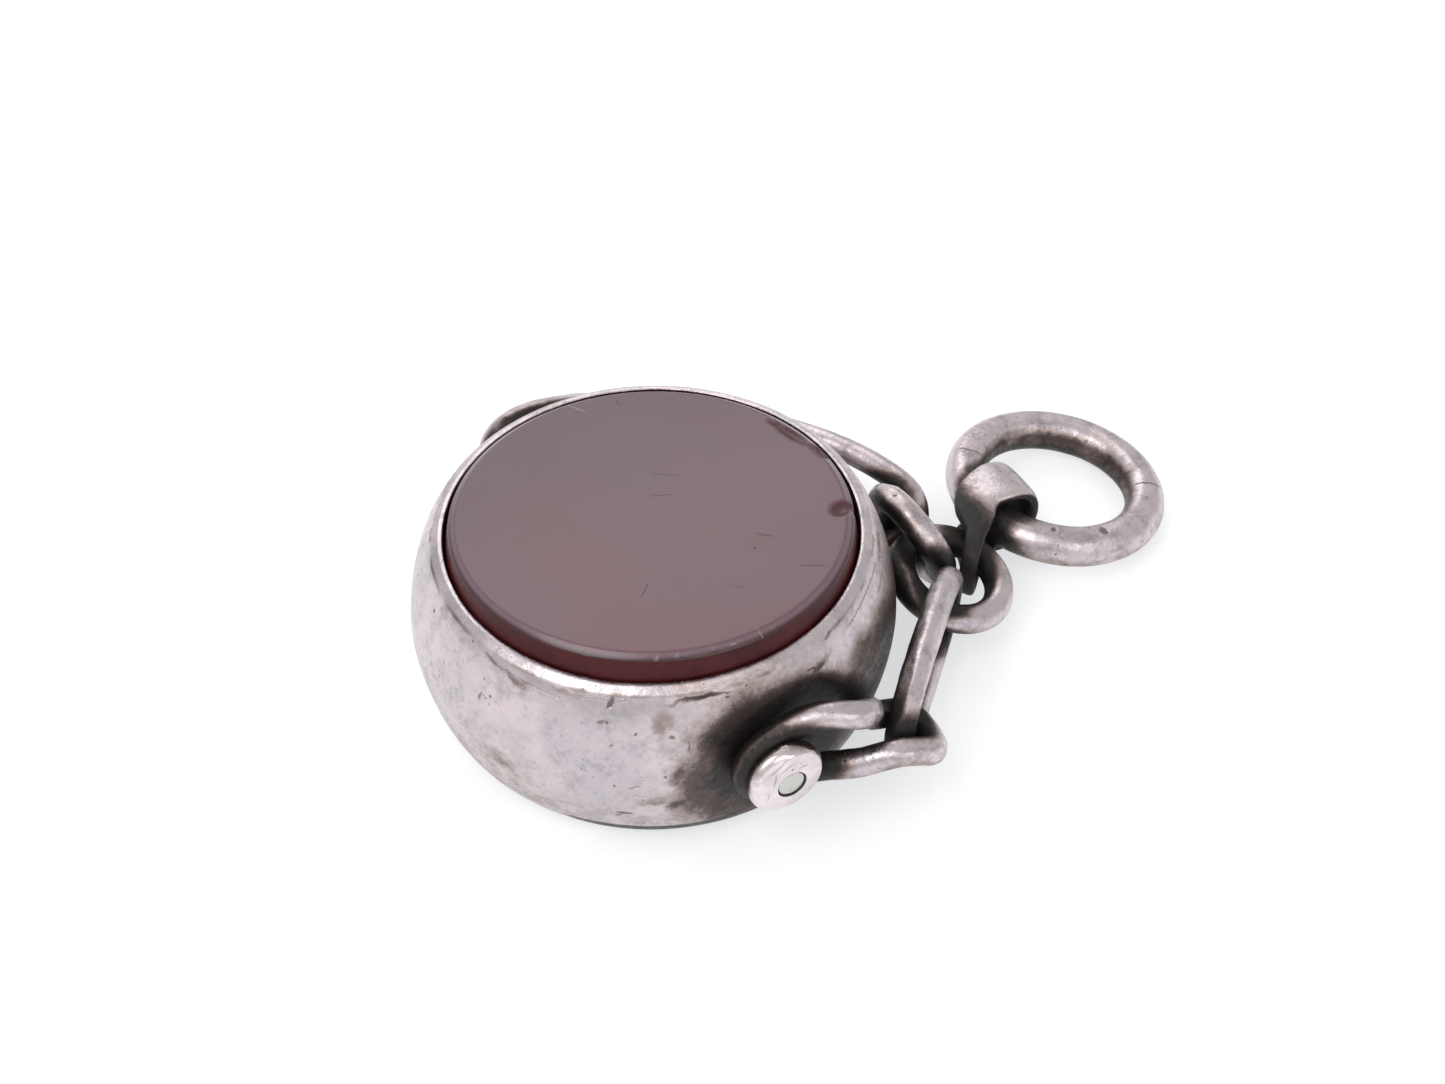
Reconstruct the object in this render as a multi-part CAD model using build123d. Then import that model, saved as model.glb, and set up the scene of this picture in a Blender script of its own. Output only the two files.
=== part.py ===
from build123d import *
import math
import os

# A spinner pendant. Two stone faces share a silver drum, which turns on a pin held by a bow of chain links.
# The origin is the middle of the drum's base. +X runs to the top ring, +Y along the pin, +Z up. Sizes are in mm.

# Drum
drum_radius = 12.5
band_swell = 1.88
band_roundness = 1.63
band_height = 10.65
bezel_wall = 0.2
ledge_width = 0.82
ledge_height = 2.5
seat_cut = 1.1
seat_radius = 5.2

# Stones
stone_clearance = 0.08
bottom_stone_proud = 0.5
top_stone_proud = 0.85
top_stone_slope = 2.75
top_stone_slope_turn = 60.7
side_cut = (0.22, 1.0)
bevel_cut = (0.41, 0.3)
base_bevel = 0.35

# Pivot
pin_radius = 0.74
pin_clearance = 0.04
cap_radius = 2.0
cap_thickness = 0.92
cap_edge_radius = 0.35
cap_shift = -0.12
cap_lift = 0.15

# Bow of links
pivot_wire = 1.48
near_long_wire = 1.5
far_long_wire = 1.4
round_wire = 1.6
link_clearance = 0.05
seat_gap = 0.2
link_roundness = 2.4

# Top ring
top_ring_diameter = 12.6
top_ring_wire = 2.25
top_ring_tilt = 8.0
ground_gap = 0.06

# Bail
bail_thickness = 0.75
bail_width = 3.0

# Worked out from the sizes above
drum_end_radius = drum_radius - band_swell
bezel_radius = drum_end_radius - bezel_wall
ledge_radius = bezel_radius - ledge_width
stone_radius = bezel_radius - stone_clearance
drum_base = bottom_stone_proud
drum_top = drum_base + band_height
pivot_height = drum_base + band_height / 2
ledge_base = pivot_height - ledge_height / 2
ledge_top = pivot_height + ledge_height / 2
seat_distance = drum_radius - seat_cut
link_plane = seat_distance + seat_gap + pivot_wire / 2
cap_inner = link_plane + pivot_wire / 2 + link_clearance
cap_outer = cap_inner + cap_thickness

# Routes of the two pivot links, as shares of the drum's radius: x towards the top ring, out from the plane that
# the link has on its pin, and up from the pin
near_pivot_points = [
    dict(x=-0.128, out=0.000, up=-0.024),
    dict(x=-0.092, out=0.000, up=0.084),
    dict(x=0.032, out=-0.004, up=0.144),
    dict(x=0.192, out=0.036, up=0.189),
    dict(x=0.327, out=0.081, up=0.167),
    dict(x=0.422, out=0.014, up=0.065),
    dict(x=0.493, out=-0.042, up=-0.056),
    dict(x=0.618, out=-0.022, up=-0.097),
    dict(x=0.650, out=0.090, up=-0.124),
    dict(x=0.598, out=0.198, up=-0.081),
    dict(x=0.489, out=0.194, up=-0.029),
    dict(x=0.323, out=0.113, up=-0.082),
    dict(x=0.136, out=0.000, up=-0.136),
    dict(x=-0.044, out=-0.008, up=-0.128),
]
far_pivot_points = [
    dict(x=-0.258, out=0.000, up=0.176),
    dict(x=-0.186, out=0.000, up=0.262),
    dict(x=-0.050, out=0.000, up=0.280),
    dict(x=0.142, out=0.010, up=0.234),
    dict(x=0.299, out=0.046, up=0.117),
    dict(x=0.408, out=0.020, up=-0.019),
    dict(x=0.483, out=-0.035, up=-0.133),
    dict(x=0.603, out=-0.029, up=-0.201),
    dict(x=0.639, out=0.081, up=-0.245),
    dict(x=0.579, out=0.195, up=-0.223),
    dict(x=0.473, out=0.197, up=-0.179),
    dict(x=0.297, out=0.114, up=-0.207),
    dict(x=0.096, out=0.004, up=-0.178),
    dict(x=-0.100, out=0.000, up=-0.102),
    dict(x=-0.218, out=0.000, up=0.038),
]

# Where the other links lie, as shares of the drum's radius with up from the pin. A link points along its yaw and
# rise, in degrees, and its flat side is rolled about that line.
near_long = dict(x=0.862, y=-0.739, up=-0.140, yaw=44.3, rise=-6.9, roll=91.8, length=1.073, width=0.504)
near_round = dict(x=1.248, y=-0.352, up=-0.189, yaw=-38.4, rise=72.8, diameter=0.577)
far_round = dict(x=1.233, y=-0.065, up=-0.163, yaw=-73.9, rise=-28.1, roll=115.0, length=0.528, width=0.609)

# The long link on the far side, from the middle of one end to the other, with its bow round the drum
far_long_start = dict(x=0.517, y=1.068, up=-0.190)
far_long_end = dict(x=1.298, y=0.002, up=-0.173)
far_long_bow = dict(x=0.043, y=0.095, up=-0.061)
far_long_side = (0.54, 0.45, 0.70)
far_long_width = 0.532

# Sections of the bail's strap, round from its wide end: place as the links' is, how far the strap's width turns
# from the pin's direction, and its width and thickness as shares of the bail's
bail_reach = 1.652
bail_sections = [
    dict(x=1.851, y=-0.020, up=-0.256, turn=0, width=1.00, thickness=1.0),
    dict(x=1.811, y=-0.020, up=-0.151, turn=0, width=1.00, thickness=1.0),
    dict(x=1.707, y=-0.020, up=-0.112, turn=0, width=1.00, thickness=1.0),
    dict(x=1.599, y=-0.044, up=-0.120, turn=10, width=0.85, thickness=1.0),
    dict(x=1.511, y=-0.144, up=-0.107, turn=30, width=0.72, thickness=1.0),
    dict(x=1.435, y=-0.256, up=-0.096, turn=36, width=0.36, thickness=0.9),
    dict(x=1.359, y=-0.336, up=-0.124, turn=32, width=0.30, thickness=0.9),
    dict(x=1.337, y=-0.354, up=-0.215, turn=32, width=0.30, thickness=0.9),
    dict(x=1.355, y=-0.336, up=-0.320, turn=32, width=0.30, thickness=0.9),
    dict(x=1.435, y=-0.248, up=-0.331, turn=36, width=0.36, thickness=0.9),
    dict(x=1.523, y=-0.144, up=-0.351, turn=30, width=0.72, thickness=1.0),
    dict(x=1.607, y=-0.044, up=-0.392, turn=10, width=0.85, thickness=1.0),
    dict(x=1.707, y=-0.020, up=-0.403, turn=0, width=1.00, thickness=1.0),
    dict(x=1.811, y=-0.020, up=-0.359, turn=0, width=1.00, thickness=1.0),
]


def place(row):
    """The point that a row of shares gives."""
    return Vector(row["x"] * drum_radius, row["y"] * drum_radius, pivot_height + row["up"] * drum_radius)


def pointing(yaw, rise):
    """The unit direction at a yaw round the upright and a rise above level, in degrees."""
    turn = math.radians(yaw)
    lift = math.radians(rise)
    return Vector(math.cos(lift) * math.cos(turn), math.cos(lift) * math.sin(turn), math.sin(lift))


def wire_loop(points, thickness):
    """A round wire bent along a smooth closed line."""
    line = Edge.make_spline([Vector(*point) for point in points], periodic=True)
    halves = []
    for start, end in ((0, 0.5), (0.5, 1)):
        half = line.trim(start, end)
        section = Plane(origin=half.position_at(0), z_dir=half.tangent_at(0)) * Circle(thickness / 2)
        halves.append(sweep(section, path=half))
    return halves[0] + halves[1]


def oval_points(centre, along, side, length, width, thickness, bow=Vector(0, 0, 0), count=16):
    """Points of an oval link's middle line. bow moves its middle sideways and leaves both ends in place."""
    points = []
    for index in range(count):
        turn = 2 * math.pi * index / count
        reach = math.copysign(abs(math.cos(turn)) ** (2 / link_roundness), math.cos(turn))
        spread = math.copysign(abs(math.sin(turn)) ** (2 / link_roundness), math.sin(turn))
        point = centre + along * (reach * (length - thickness) / 2) + side * (spread * (width - thickness) / 2)
        points.append(point + bow * (1 - reach ** 2))
    return points


def band_radius(share):
    """The band's outer radius at a share of its height."""
    fall = abs(2 * share - 1) ** band_roundness
    return drum_end_radius + (drum_radius - drum_end_radius) * (1 - fall) ** (1 / band_roundness)


def bezel_drum():
    """The rounded silver band with a bezel at each end, a ledge between the stones and a flat seat at each pivot."""
    shares = [0, 0.03, 0.12, 0.3, 0.5, 0.7, 0.88, 0.97, 1]
    outer = [(band_radius(share), drum_base + share * band_height) for share in shares]
    section = Spline(*outer) + Polyline(
        outer[-1], (bezel_radius, drum_top), (bezel_radius, ledge_top), (ledge_radius, ledge_top),
        (ledge_radius, ledge_base), (bezel_radius, ledge_base), (bezel_radius, drum_base), outer[0])
    drum = revolve(Plane.XZ * make_face(section), axis=Axis.Z)
    for side in (-1, 1):
        seat = Plane(origin=(0, side * seat_distance, pivot_height), z_dir=(0, side, 0))
        drum -= seat * Cylinder(seat_radius, drum_radius, align=(Align.CENTER, Align.CENTER, Align.MIN))
    across = Plane(origin=(0, 0, pivot_height), z_dir=(0, 1, 0))
    return drum - across * Cylinder(pin_radius + pin_clearance, 3 * drum_radius)


def top_stone():
    """The upper stone slab. Its face leans a little in the bezel and its edge has a steep side and a soft bevel."""
    base = ledge_top + stone_clearance
    height = drum_top + top_stone_proud - base
    slab = Pos(0, 0, base) * Cylinder(stone_radius, 2 * height, align=(Align.CENTER, Align.CENTER, Align.MIN))
    lean = Plane(origin=(0, 0, base + height)) * Rot(0, 0, top_stone_slope_turn) * Rot(0, top_stone_slope, 0)
    slab -= lean * Box(4 * drum_radius, 4 * drum_radius, 2 * height, align=(Align.CENTER, Align.CENTER, Align.MIN))
    for inset, drop in (side_cut, bevel_cut):
        face = slab.faces().sort_by(Axis.Z)[-1]
        slab = chamfer(face.edges(), inset, drop, reference=face)
    return slab


def bottom_stone():
    """The lower stone slab, a little proud of the band below, with a bevelled edge that it rests within."""
    height = ledge_base - stone_clearance
    slab = Cylinder(stone_radius, height, align=(Align.CENTER, Align.CENTER, Align.MIN))
    return chamfer(slab.edges().sort_by(Axis.Z)[0], base_bevel)


def pivot_pin():
    """The pin right through the drum, between the stones and through both caps."""
    across = Plane(origin=(0, 0, pivot_height), z_dir=(0, 1, 0))
    return across * Cylinder(pin_radius, 2 * cap_outer)


def pivot_cap(side):
    """A domed button round the pin's end that keeps the pivot link on."""
    outward = Plane(origin=(cap_shift, side * cap_inner, pivot_height + cap_lift), z_dir=(0, side, 0))
    button = Cylinder(cap_radius, cap_thickness, align=(Align.CENTER, Align.CENTER, Align.MIN))
    button = fillet(button.edges().sort_by(Axis.Z)[-1], cap_edge_radius)
    hole = Plane(origin=(0, 0, pivot_height), z_dir=(0, 1, 0)) * Cylinder(pin_radius + pin_clearance, 4 * cap_outer)
    return outward * button - hole


def pivot_link(points, side):
    """A twisted link on a pivot, on the pin's near side or far side."""
    route = []
    for point in points:
        out = side * (link_plane + point["out"] * drum_radius)
        route.append((point["x"] * drum_radius, out, pivot_height + point["up"] * drum_radius))
    return wire_loop(route, pivot_wire)


def rolled_link(row, thickness):
    """An oval link that points along its yaw and rise, with its flat side rolled about that line."""
    along = pointing(row["yaw"], row["rise"])
    level = Vector(0, 0, 1).cross(along).normalized()
    upright = along.cross(level)
    roll = math.radians(row["roll"])
    side = level * math.cos(roll) + upright * math.sin(roll)
    length = row["length"] * drum_radius
    width = row["width"] * drum_radius
    return wire_loop(oval_points(place(row), along, side, length, width, thickness), thickness)


def far_long_link():
    """The long oval link on the far side, bowed round the drum."""
    start = place(far_long_start)
    end = place(far_long_end)
    along = (end - start).normalized()
    side = Vector(*far_long_side)
    side = (side - along * side.dot(along)).normalized()
    length = (end - start).length + far_long_wire
    bow = Vector(far_long_bow["x"], far_long_bow["y"], far_long_bow["up"]) * drum_radius
    points = oval_points((start + end) / 2, along, side, length, far_long_width * drum_radius, far_long_wire, bow)
    return wire_loop(points, far_long_wire)


def round_ring(centre, normal, diameter, thickness):
    """A round ring of round wire."""
    return Plane(origin=centre, z_dir=normal) * Torus((diameter - thickness) / 2, thickness / 2)


def top_ring():
    """The ring that the pendant hangs by. Its wire lies in the bail's wide end and its far side near the ground."""
    middle_radius = (top_ring_diameter - top_ring_wire) / 2
    tilt = math.radians(top_ring_tilt)
    x = bail_reach * drum_radius + middle_radius * math.cos(tilt)
    z = ground_gap + top_ring_wire / 2 + middle_radius * math.sin(tilt)
    return round_ring((x, 0, z), pointing(0, 90 - top_ring_tilt), top_ring_diameter, top_ring_wire)


def bail():
    """The strap loop: wide round the top ring and narrow round the near ring."""
    places = [place(row) for row in bail_sections]
    middle_line = Edge.make_spline(places, periodic=True)
    faces = []
    for row, middle in zip(bail_sections, places):
        tangent = middle_line.tangent_at(middle_line.param_at_point(middle))
        turn = math.radians(row["turn"])
        across = Vector(-math.sin(turn), math.cos(turn), 0)
        across = (across - tangent * across.dot(tangent)).normalized()
        plane = Plane(origin=middle, x_dir=across, z_dir=tangent)
        faces.append(plane * Rectangle(row["width"] * bail_width, row["thickness"] * bail_thickness))
    half = len(faces) // 2
    upper = loft(faces[:half + 1], ruled=True)
    lower = loft(faces[half:] + faces[:1], ruled=True)
    return upper + lower


def build_nodes():
    """Every piece by its node name."""
    ring_normal = pointing(near_round["yaw"], near_round["rise"])
    return {
        "bezel_drum": bezel_drum(),
        "top_stone": top_stone(),
        "bottom_stone": bottom_stone(),
        "pivot_pin": pivot_pin(),
        "near_cap": pivot_cap(-1),
        "far_cap": pivot_cap(1),
        "near_pivot_link": pivot_link(near_pivot_points, -1),
        "near_long_link": rolled_link(near_long, near_long_wire),
        "near_ring": round_ring(place(near_round), ring_normal, near_round["diameter"] * drum_radius, round_wire),
        "far_ring": rolled_link(far_round, round_wire),
        "far_long_link": far_long_link(),
        "far_pivot_link": pivot_link(far_pivot_points, 1),
        "bail": bail(),
        "top_ring": top_ring(),
    }


os.makedirs("parts", exist_ok=True)
for name, shape in build_nodes().items():
    export_step(shape, f"parts/{name}.step")
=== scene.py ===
import math

import bmesh
import bpy
import numpy as np
from mathutils import Matrix, Vector
from mathutils.kdtree import KDTree


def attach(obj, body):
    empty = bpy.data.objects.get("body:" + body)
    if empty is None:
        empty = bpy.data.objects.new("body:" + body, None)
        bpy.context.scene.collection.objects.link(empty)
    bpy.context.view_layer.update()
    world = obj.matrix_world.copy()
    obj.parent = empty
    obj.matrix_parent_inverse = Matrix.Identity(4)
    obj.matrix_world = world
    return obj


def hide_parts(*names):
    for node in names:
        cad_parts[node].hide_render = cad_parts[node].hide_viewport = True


# A spinner pendant: a silver drum with a stone face on each side, on a pin in a bow of chain links.
# Lengths here are in millimetres and angles in degrees. Blender's own unit is the metre.

mm = 0.001
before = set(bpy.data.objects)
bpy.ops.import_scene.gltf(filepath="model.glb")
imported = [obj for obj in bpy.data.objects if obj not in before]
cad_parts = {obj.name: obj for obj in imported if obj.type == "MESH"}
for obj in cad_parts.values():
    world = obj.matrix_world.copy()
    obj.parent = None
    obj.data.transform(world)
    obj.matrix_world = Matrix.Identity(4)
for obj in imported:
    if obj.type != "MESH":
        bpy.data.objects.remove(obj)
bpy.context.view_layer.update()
print("frame loaded")

drumRadius = 12.5
pivotHeight = 5.825
linkPlane = 12.34  # how far out along the pin the pivot links lie
linkRoundness = 2.4
ovalPoints = 16  # the points that an oval link's smooth line goes through
routeSteps = 240
pivotSteps = 260
poleRadius = 1e-6  # a turned row thinner than this is a single point


# Nodes

class Wire:  # one output socket; arithmetic on it adds Math nodes
    def __init__(self, tree, socket):
        self.tree = tree
        self.socket = socket

    def __add__(self, other):
        return self.tree.math("ADD", self, other)

    def __sub__(self, other):
        return self.tree.math("SUBTRACT", self, other)

    def __rsub__(self, other):
        return self.tree.math("SUBTRACT", other, self)

    def __mul__(self, other):
        return self.tree.math("MULTIPLY", self, other)

    def __truediv__(self, other):
        return self.tree.math("DIVIDE", self, other)

    def __rtruediv__(self, other):
        return self.tree.math("DIVIDE", other, self)

    __radd__ = __add__
    __rmul__ = __mul__

    def highest(self, other):
        return self.tree.math("MAXIMUM", self, other)

    def lowest(self, other):
        return self.tree.math("MINIMUM", self, other)


def strongest(masks):  # the highest of several masks at each place, or none
    total = None
    for mask in masks:
        total = mask if total is None else total.highest(mask)
    return total


class Tree:  # a node tree with one method that adds any node
    def __init__(self, nodeTree):
        self.nodes = nodeTree.nodes
        self.links = nodeTree.links

    def node(self, kind, settings=None, inputs=None, output=0):
        made = self.nodes.new(kind)
        for key, value in (settings or {}).items():
            setattr(made, key, value)
        for key, value in (inputs or {}).items():
            socket = made.inputs[key]
            if isinstance(value, Wire):
                self.links.new(value.socket, socket)
            elif socket.type == "RGBA" and len(value) == 3:
                socket.default_value = (*value, 1)
            else:
                socket.default_value = value
        return Wire(self, made.outputs[output])

    def math(self, operation, *values):
        return self.node("ShaderNodeMath", {"operation": operation}, dict(enumerate(values)))

    def vector(self, operation, *values, output=0, scale=None):
        inputs = dict(enumerate(values))
        if scale is not None:
            inputs["Scale"] = scale
        return self.node("ShaderNodeVectorMath", {"operation": operation}, inputs, output)

    def split(self, vector):  # the three parts of a vector
        self.node("ShaderNodeSeparateXYZ", {}, {"Vector": vector})
        return [Wire(self, socket) for socket in self.nodes[-1].outputs]

    def ease(self, value, low, high, start=0, end=1):  # a smooth step from start to end between low and high
        return self.node("ShaderNodeMapRange", {"interpolation_type": "SMOOTHSTEP"},
                         {"Value": value, "From Min": low, "From Max": high, "To Min": start, "To Max": end})


class Finish(Tree):  # a material and what its patterns need
    def __init__(self, name):
        self.material = bpy.data.materials.new(name)
        self.material.use_nodes = True
        super().__init__(self.material.node_tree)
        self.nodes.clear()
        place = self.node("ShaderNodeTexCoord", output="Object")
        self.place = self.vector("SCALE", place, scale=1 / mm)  # the place on the piece in mm

    def noise(self, size, detail=3, rough=0.5, where=None, shift=0, output=0):
        where = self.vector("ADD", where or self.place, (shift, shift * 0.7, -shift))
        return self.node("ShaderNodeTexNoise", {},
                         {"Vector": where, "Scale": 1 / size, "Detail": detail, "Roughness": rough}, output)

    def specks(self, spacing, radius, share):  # small round spots, at a share of the cells
        inputs = {"Vector": self.ragged(0.25), "Scale": 1 / spacing}
        cells = self.node("ShaderNodeTexVoronoi", {}, inputs, "Distance")
        colours = self.nodes[-1].outputs["Color"]
        chance = self.node("ShaderNodeSeparateColor", {}, {"Color": Wire(self, colours)})
        here = self.ease(chance, 1 - share, 1 - share + 0.02)
        return self.ease(cells, radius / spacing, 0.3 * radius / spacing) * here

    def ragged(self, amount, size=0.6):  # the place, pushed about so that edges of marks aren't clean
        push = self.noise(size, 3, output=1)
        push = self.vector("SUBTRACT", push, (0.5, 0.5, 0.5))
        return self.vector("ADD", self.place, self.vector("SCALE", push, scale=amount * 2))

    # Fine lines along a direction
    def scratches(self, direction, width=0.05, length=2.5, share=0.35, shift=0):
        size = (length, width, width * 2)
        inputs = {"Vector": self.ragged(0.15, 2.5), "Rotation": direction, "Scale": size}
        turned = self.node("ShaderNodeMapping", {"vector_type": "TEXTURE"}, inputs)
        lines = self.noise(1.0, 1, 0.4, turned, shift)
        some = self.noise(1.8, 2, 0.5, shift=shift + 3)
        return self.ease(lines, 0.70, 0.78) * self.ease(some, 1 - share, 1.1 - share)

    def mark(self, where, centre, along, normal, size, edge):  # an oval spot on the surface
        along = Vector(along).normalized()
        normal = Vector(normal)
        normal = (normal - along * normal.dot(along)).normalized()
        turn = Matrix((along, normal.cross(along), normal)).transposed().to_euler()
        inputs = {"Vector": where, "Location": tuple(centre), "Rotation": tuple(turn), "Scale": tuple(size)}
        spot = self.node("ShaderNodeMapping", {"vector_type": "TEXTURE"}, inputs)
        return self.ease(self.vector("LENGTH", spot, output=1), 1, edge)

    def marks(self, where, rows, normal, edge):  # several spots that face one way
        spots = [self.mark(where, centre, along, normal, size, edge) for centre, along, size in rows]
        return strongest(spots)

    def mix(self, first, second, share):
        return self.node("ShaderNodeMix", {"data_type": "RGBA"}, {0: share, 6: first, 7: second}, 2)

    def attribute(self, name):
        return self.node("ShaderNodeAttribute", {"attribute_name": name}, output="Fac")

    def bump(self, height, depth):  # height from 0 to 1, depth in mm
        return self.node("ShaderNodeBump", {}, {"Height": height, "Strength": 1.0, "Distance": depth * mm})

    def done(self, **sockets):
        values = {key.replace("_", " "): value for key, value in sockets.items()}
        shader = self.node("ShaderNodeBsdfPrincipled", {}, values)
        out = self.nodes.new("ShaderNodeOutputMaterial")
        self.links.new(shader.socket, out.inputs["Surface"])
        return self.material


class Recipe(Tree):  # a Geometry Nodes tree with named inputs
    kinds = {"size": "NodeSocketFloat", "count": "NodeSocketInt", "vector": "NodeSocketVector",
             "shape": "NodeSocketGeometry", "finish": "NodeSocketMaterial"}

    def __init__(self, name, inputs):
        self.group = bpy.data.node_groups.new(name, "GeometryNodeTree")
        super().__init__(self.group)
        for label, kind in {"Shape": "shape", **inputs}.items():
            self.group.interface.new_socket(label, in_out="INPUT", socket_type=self.kinds[kind])
        self.group.interface.new_socket("Shape", in_out="OUTPUT", socket_type=self.kinds["shape"])
        self.given = self.nodes.new("NodeGroupInput")

    def input(self, label):
        return Wire(self, self.given.outputs[label])

    def finish(self, shape):
        shape = self.node("GeometryNodeSetShadeSmooth", {}, {"Geometry": shape})
        shape = self.node("GeometryNodeRealizeInstances", {}, {"Geometry": shape})
        inputs = {"Geometry": shape, "Material": self.input("Finish")}
        shape = self.node("GeometryNodeSetMaterial", {}, inputs)
        out = self.nodes.new("NodeGroupOutput")
        self.links.new(shape.socket, out.inputs[0])

    def run(self, name, mesh, values):  # makes one piece from a route or a profile
        piece = bpy.data.objects.new(name, mesh)
        bpy.context.scene.collection.objects.link(piece)
        modifier = piece.modifiers.new("recipe", "NODES")
        modifier.node_group = self.group
        for socket in self.group.interface.items_tree:
            if socket.in_out == "INPUT" and socket.name in values:
                modifier[socket.identifier] = values[socket.name]
        baked = bpy.data.meshes.new_from_object(piece.evaluated_get(bpy.context.evaluated_depsgraph_get()))
        piece.modifiers.remove(modifier)
        piece.data = baked
        return piece


# Shared shaping

def polyline(name, points, closed):  # a line of edges, in mm, for a recipe to follow
    points = np.array(points, float) * mm
    edges = [(index, index + 1) for index in range(len(points) - 1)]
    if closed:
        edges.append((len(points) - 1, 0))
    mesh = bpy.data.meshes.new(name)
    mesh.from_pydata([tuple(point) for point in points], edges, [])
    return mesh


def smoothLoop(points, count):  # a smooth closed line through the points
    points = np.array(points, float)
    number = len(points)
    step = np.linalg.norm(np.roll(points, -1, 0) - points, axis=1)
    matrix = np.zeros((number, number))
    right = np.zeros((number, 3))
    for index in range(number):
        before, after = step[index - 1], step[index]
        following = (index + 1) % number
        matrix[index, index - 1] += before / 6
        matrix[index, index] += (before + after) / 3
        matrix[index, following] += after / 6
        onward, back = points[following] - points[index], points[index] - points[index - 1]
        right[index] = onward / after - back / before
    bend = np.linalg.solve(matrix, right)
    marks = np.concatenate([[0], np.cumsum(step)])
    line = []
    for distance in np.arange(count) * marks[-1] / count:
        index = min(np.searchsorted(marks, distance, "right") - 1, number - 1)
        following = (index + 1) % number
        size = step[index]
        fore = (marks[index + 1] - distance) / size
        aft = 1 - fore
        line.append(fore * points[index] + aft * points[following]
                    + ((fore ** 3 - fore) * bend[index] + (aft ** 3 - aft) * bend[following]) * size ** 2 / 6)
    return np.array(line)


# A mesh piece from points in mm. Doubles are merged unless its points carry numbers of their own.
def shapeOf(name, points, faces, materials, merged=True):
    mesh = bpy.data.meshes.new(name)
    mesh.from_pydata([tuple(point) for point in np.array(points, float) * mm], [], faces)
    work = bmesh.new()
    work.from_mesh(mesh)
    if merged:
        bmesh.ops.remove_doubles(work, verts=work.verts, dist=1e-7)
    bmesh.ops.recalc_face_normals(work, faces=work.faces)
    work.to_mesh(mesh)
    work.free()
    mesh.shade_smooth()
    for material in materials:
        mesh.materials.append(material)
    piece = bpy.data.objects.new(name, mesh)
    bpy.context.scene.collection.objects.link(piece)
    return piece


def stackFaces(rings, closed=False):  # faces between rings of points, where a ring of one point is a pole
    faces = []
    for index in range(len(rings) if closed else len(rings) - 1):
        first, second = rings[index], rings[(index + 1) % len(rings)]
        around = max(len(first), len(second))
        for step in range(around):
            beside = (step + 1) % around
            if len(first) == 1:
                faces.append((first[0], second[beside], second[step]))
            elif len(second) == 1:
                faces.append((first[step], first[beside], second[0]))
            else:
                faces.append((first[step], first[beside], second[beside], second[step]))
    return faces


# A turned piece from rows of radius and distance along its axis; toPlace puts a point where it belongs
def turned(name, profile, around, toPlace, materials):
    points, rings = [], []
    for radius, out in profile:
        count = around if radius > poleRadius else 1
        rings.append(list(range(len(points), len(points) + count)))
        for step in range(count):
            turn = 2 * math.pi * step / around
            points.append(toPlace(radius * math.cos(turn), radius * math.sin(turn), out))
    faces = stackFaces(rings, closed=profile[0][0] > poleRadius)
    return shapeOf(name, points, faces, materials)


def corners(piece):  # the piece's points in mm
    points = np.zeros(len(piece.data.vertices) * 3)
    piece.data.vertices.foreach_get("co", points)
    return points.reshape(-1, 3) / mm


def outwards(piece):
    normals = np.zeros(len(piece.data.vertices) * 3)
    piece.data.vertices.foreach_get("normal", normals)
    return normals.reshape(-1, 3)


def moveCorners(piece, points):
    piece.data.vertices.foreach_set("co", (points * mm).ravel())
    piece.data.update()


def paint(piece, name, values):  # keeps one number for each point of the mesh
    layer = piece.data.attributes.new(name, "FLOAT", "POINT")
    layer.data.foreach_set("value", np.asarray(values, np.float32))


def easeBetween(values, low, high):
    share = np.clip((values - low) / (high - low), 0, 1)
    return share * share * (3 - 2 * share)


def place(row):  # a link's own numbers are shares of the drum's radius, from the drum's middle and the pin
    return np.array([row["x"] * drumRadius, row["y"] * drumRadius, pivotHeight + row["up"] * drumRadius])


def pointing(yaw, rise):  # the direction at a yaw round the upright and a rise from level
    turn, lift = math.radians(yaw), math.radians(rise)
    return np.array([math.cos(lift) * math.cos(turn), math.cos(lift) * math.sin(turn), math.sin(lift)])


def unit(direction):
    return direction / np.linalg.norm(direction)

def squareTurn(turn, corner):  # a step round an oval whose corners are squared
    across, up = math.cos(turn), math.sin(turn)
    return math.copysign(abs(across) ** (2 / corner), across), math.copysign(abs(up) ** (2 / corner), up)


# The finishes

def darker(tone, share):
    return tuple(share * part for part in tone)


silverTones = dict(
    pale=(0.62, 0.545, 0.555),
    cool=(0.52, 0.475, 0.50),
    warm=(0.36, 0.300, 0.285),
    brown=(0.105, 0.080, 0.075),
    black=(0.020, 0.016, 0.016),
    bright=(0.80, 0.735, 0.745),
    # the colour of a painted glint
    paintedGlint=(0.80, 0.52, 0.30),
)

# The worn silver of every metal piece: the sizes of its four patterns of wear, and its spots and pits
silverWear = dict(cloud=5.0, blotch=1.3, mottle=0.30, grain=0.07,
                  spots=(0.9, 0.10, 0.45), pits=(0.45, 0.06, 0.45))  # spacing, radius, share of the cells


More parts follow.
